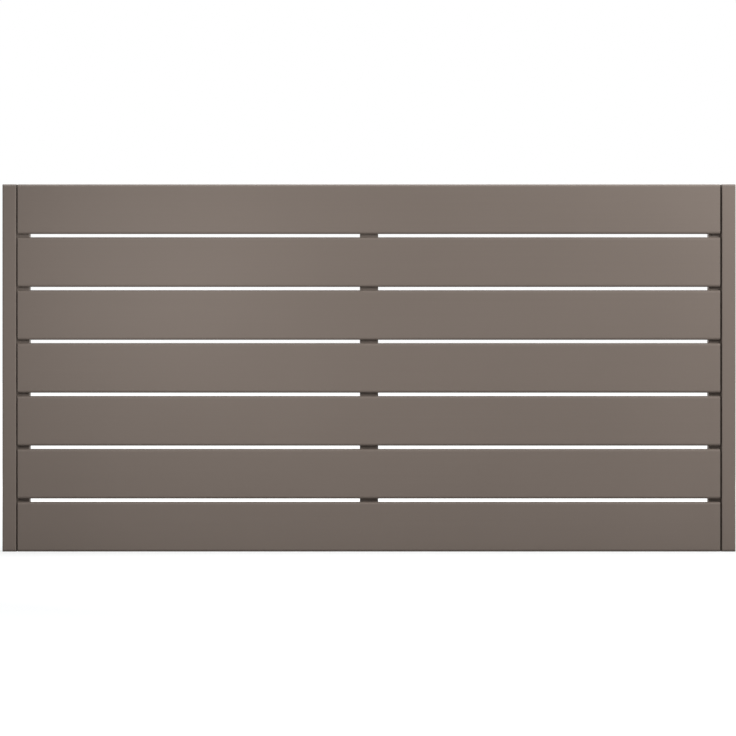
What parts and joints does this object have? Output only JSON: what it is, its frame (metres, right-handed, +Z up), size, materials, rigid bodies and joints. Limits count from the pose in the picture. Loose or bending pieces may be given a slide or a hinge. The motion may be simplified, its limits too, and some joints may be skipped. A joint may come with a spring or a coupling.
{
  "type": "garden privacy screen",
  "caption": "Flat slatted privacy screen panel in powder-coated aluminium: wide horizontal slats with narrow gaps, side channels and vertical supports behind.",
  "frame": {"origin": "middle of the panel's base: halfway along its length and through its depth, at the height of its lower edge", "axes": "+X along the slats to the right as seen from the front, +Y from the front to the rear, +Z up"},
  "size_m": [1.8, 0.042, 0.902],
  "materials": {
    "coated_aluminium": "satin powder coat, warm grey",
    "moulded_plastic": "fine moulded texture, coloured to match the coat",
    "screw_steel": "plain stainless",
    "painted_screw": "stainless, head painted to match the coat"
  },
  "bodies": {
    "root": {"slat_1": "coated_aluminium", "slat_2": "coated_aluminium", "slat_3": "coated_aluminium", "slat_4": "coated_aluminium", "slat_5": "coated_aluminium", "slat_6": "coated_aluminium", "slat_7": "coated_aluminium", "left_side_channel": "coated_aluminium", "right_side_channel": "coated_aluminium", "left_support": "coated_aluminium", "centre_support": "coated_aluminium", "right_support": "coated_aluminium", "left_support_cover": "coated_aluminium", "centre_support_cover": "coated_aluminium", "right_support_cover": "coated_aluminium", "left_channel_bottom_cap": "moulded_plastic", "left_channel_top_cap": "moulded_plastic", "right_channel_bottom_cap": "moulded_plastic", "right_channel_top_cap": "moulded_plastic", "left_support_bottom_plug": "moulded_plastic", "left_support_top_plug": "moulded_plastic", "centre_support_bottom_plug": "moulded_plastic", "centre_support_top_plug": "moulded_plastic", "right_support_bottom_plug": "moulded_plastic", "right_support_top_plug": "moulded_plastic", "left_slat_screws": "screw_steel", "centre_slat_screws": "screw_steel", "right_slat_screws": "screw_steel", "left_channel_screws": "painted_screw", "right_channel_screws": "painted_screw"}
  },
  "joints": []
}
